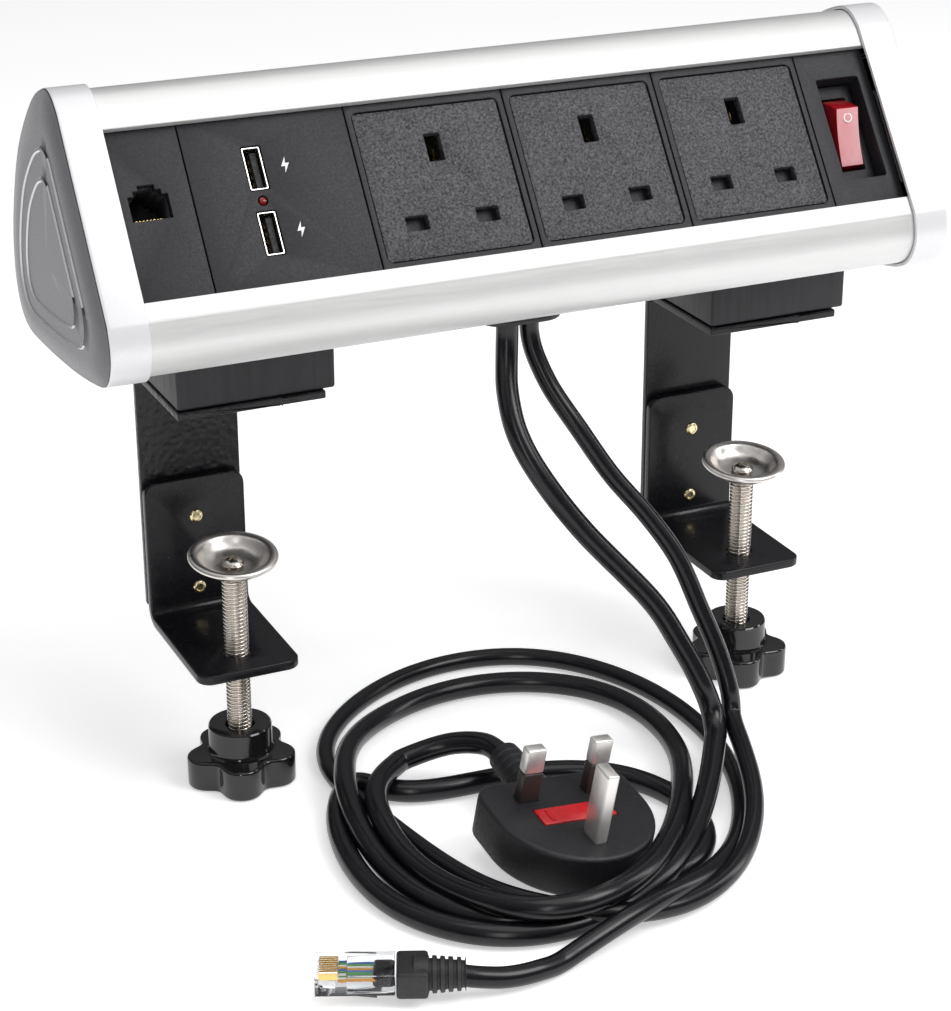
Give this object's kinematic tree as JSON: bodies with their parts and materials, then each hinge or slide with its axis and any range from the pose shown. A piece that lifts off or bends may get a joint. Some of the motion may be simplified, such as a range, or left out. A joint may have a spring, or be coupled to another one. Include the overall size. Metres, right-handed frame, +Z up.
{
  "type": "desk power strip",
  "caption": "Tubular desk power strip with sockets, charging ports, network jack and rocker switch on a tilted face, two screw desk clamps, and coiled mains and network cords.",
  "frame": {"origin": "middle of the unit's length and depth without its cords, at the level its clamp knobs stand on", "axes": "+X along the body from the network jack to the switch, socket face towards -Y and leaning back 36.2 degrees, +Z up"},
  "size_m": [0.273, 0.2021, 0.2221],
  "materials": {
    "silver_extrusion": "satin anodised, fine grain along the body",
    "silver_plastic": "metallic grey moulded plastic, satin",
    "module_black": "satin black",
    "socket_speckle": "finely speckled black",
    "connector_steel": "plated sheet steel",
    "contact_gold": "gold-plated contacts",
    "board_green": "circuit board",
    "lamp_red": "clear red lens",
    "bus_brass": "bright brass strip",
    "rocker_red": "translucent red, glossy",
    "spacer_grey": "dark grey, satin",
    "bracket_wrinkle": "wrinkle-texture black paint",
    "bracket_satin": "satin black paint",
    "rivet_pale": "pale brass, domed",
    "screw_nickel": "bright nickel plate",
    "cup_polished": "polished pressed steel",
    "knob_black": "glossy black",
    "grommet_black": "matte black",
    "cord_sheath": "semi-gloss black sheath",
    "plug_black": "fine pebble texture",
    "pin_nickel": "nickel-plated brass",
    "fuse_red": "red moulding",
    "plug_clear": "clear polycarbonate"
  },
  "bodies": {
    "strip": {"extrusion_body": "silver_extrusion", "end_cap_left": "silver_plastic", "end_cap_right": "silver_plastic", "data_module_frame": "module_black", "data_jack_body": "module_black", "data_jack_contacts": "contact_gold", "usb_module_frame": "module_black", "usb_shell_upper": "connector_steel", "usb_shell_lower": "connector_steel", "usb_tongue_block": "module_black", "usb_led_lens": "lamp_red", "usb_power_board": "board_green", "socket_1_frame": "module_black", "socket_1_insert": "socket_speckle", "socket_2_frame": "module_black", "socket_2_insert": "socket_speckle", "socket_3_frame": "module_black", "socket_3_insert": "socket_speckle", "earth_bus_bar": "bus_brass", "live_bus_bar": "bus_brass", "neutral_bus_bar": "bus_brass", "switch_module_frame": "module_black", "switch_base": "module_black", "spacer_block_left": "spacer_grey", "upper_bracket_left": "bracket_wrinkle", "lower_bracket_left": "bracket_satin", "bracket_rivet_left_upper": "rivet_pale", "bracket_rivet_left_lower": "rivet_pale", "spacer_block_right": "spacer_grey", "upper_bracket_right": "bracket_wrinkle", "lower_bracket_right": "bracket_satin", "bracket_rivet_right_upper": "rivet_pale", "bracket_rivet_right_lower": "rivet_pale", "cord_grommet": "grommet_black", "mains_cord_drop": "cord_sheath", "mains_cord_tail": "cord_sheath", "network_cord_drop": "cord_sheath", "network_cord_tail": "cord_sheath", "cord_coil": "cord_sheath", "plug_body": "plug_black", "plug_pin_live": "pin_nickel", "plug_pin_neutral": "pin_nickel", "plug_pin_earth": "pin_nickel", "network_plug_body": "plug_clear", "network_plug_boot": "grommet_black"},
    "shutter_1": {"socket_1_shutter": "module_black"},
    "shutter_2": {"socket_2_shutter": "module_black"},
    "shutter_3": {"socket_3_shutter": "module_black"},
    "rocker": {"switch_rocker": "rocker_red"},
    "pad_slider_left": {"pad_washer_left": "screw_nickel"},
    "pad_left": {"pad_cup_left": "cup_polished"},
    "screw_left": {"clamp_screw_left": "screw_nickel", "pad_screw_left": "screw_nickel", "clamp_knob_left": "knob_black"},
    "pad_slider_right": {"pad_washer_right": "screw_nickel"},
    "pad_right": {"pad_cup_right": "cup_polished"},
    "screw_right": {"clamp_screw_right": "screw_nickel", "pad_screw_right": "screw_nickel", "clamp_knob_right": "knob_black"},
    "fuse_carrier": {"plug_fuse_carrier": "fuse_red"}
  },
  "joints": [
    {"name": "switch_rocker_hinge", "type": "hinge", "parent": "strip", "child": "rocker", "pos_m": [0.1122, -0.01938, 0.18516], "axis": [1, 0, 0], "range_deg": [-40, 0]},
    {"name": "socket_1_shutter_slide", "type": "slide", "parent": "strip", "child": "shutter_1", "axis": [0, -0.5906, -0.807], "range_m": [0, 0.0065], "stiffness_N_per_m": 150, "springref_m": -0.002},
    {"name": "socket_2_shutter_slide", "type": "slide", "parent": "strip", "child": "shutter_2", "axis": [0, -0.5906, -0.807], "range_m": [0, 0.0065], "stiffness_N_per_m": 150, "springref_m": -0.002},
    {"name": "socket_3_shutter_slide", "type": "slide", "parent": "strip", "child": "shutter_3", "axis": [0, -0.5906, -0.807], "range_m": [0, 0.0065], "stiffness_N_per_m": 150, "springref_m": -0.002},
    {"name": "clamp_left_travel", "type": "slide", "parent": "strip", "child": "pad_slider_left", "axis": [0, 0, 1], "range_m": [-0.024, 0.021]},
    {"name": "clamp_left_screw", "type": "hinge", "parent": "pad_slider_left", "child": "screw_left", "pos_m": [-0.089, -0.0083, 0.0716], "axis": [0, 0, 1], "range_deg": [-6915, 6051]},
    {"name": "pad_left_tilt", "type": "hinge", "parent": "pad_slider_left", "child": "pad_left", "pos_m": [-0.089, -0.0083, 0.0716], "axis": [1, 0, 0], "range_deg": [-14, 0]},
    {"name": "clamp_right_travel", "type": "slide", "parent": "strip", "child": "pad_slider_right", "axis": [0, 0, 1], "range_m": [-0.024, 0.021]},
    {"name": "clamp_right_screw", "type": "hinge", "parent": "pad_slider_right", "child": "screw_right", "pos_m": [0.089, -0.0083, 0.0716], "axis": [0, 0, 1], "range_deg": [-6915, 6051]},
    {"name": "pad_right_tilt", "type": "hinge", "parent": "pad_slider_right", "child": "pad_right", "pos_m": [0.089, -0.0083, 0.0716], "axis": [1, 0, 0], "range_deg": [-14, 0]},
    {"name": "fuse_carrier_pull", "type": "slide", "parent": "strip", "child": "fuse_carrier", "axis": [0.1079, -0.1182, 0.9871], "range_m": [0, 0.015]}
  ],
  "couplings": [
    {"joint": "clamp_left_screw", "follows": "clamp_left_travel", "rad_per_m": 5026.5},
    {"joint": "clamp_right_screw", "follows": "clamp_right_travel", "rad_per_m": 5026.5}
  ]
}
